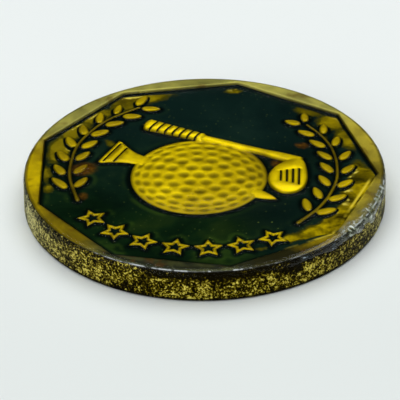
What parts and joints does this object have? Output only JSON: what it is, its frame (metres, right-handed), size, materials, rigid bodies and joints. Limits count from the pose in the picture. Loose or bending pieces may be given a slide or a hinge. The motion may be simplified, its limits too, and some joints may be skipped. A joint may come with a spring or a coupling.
{
  "type": "golf ball marker",
  "caption": "Round die-struck brass ball marker with a nine-sided sunk field, raised laurel, ball, club and open stars, dark green enamel and a clear coat.",
  "frame": {"origin": "centre of the flat back, on the surface the marker lies on", "axes": "+Z out of the decorated face, +Y towards the top of the artwork, +X to the right of the artwork"},
  "size_m": [0.025, 0.025, 0.0026],
  "materials": {
    "brass": "struck, yellow, satin with a granular side wall",
    "enamel": "dark translucent green enamel, gloss",
    "clear_coat": "clear glossy lacquer"
  },
  "bodies": {
    "root": {"brass_disc": "brass", "field_enamel": "enamel", "star_enamel": "enamel", "club_line_enamel": "enamel", "tee_line_enamel": "enamel", "clear_coat": "clear_coat"}
  },
  "joints": []
}
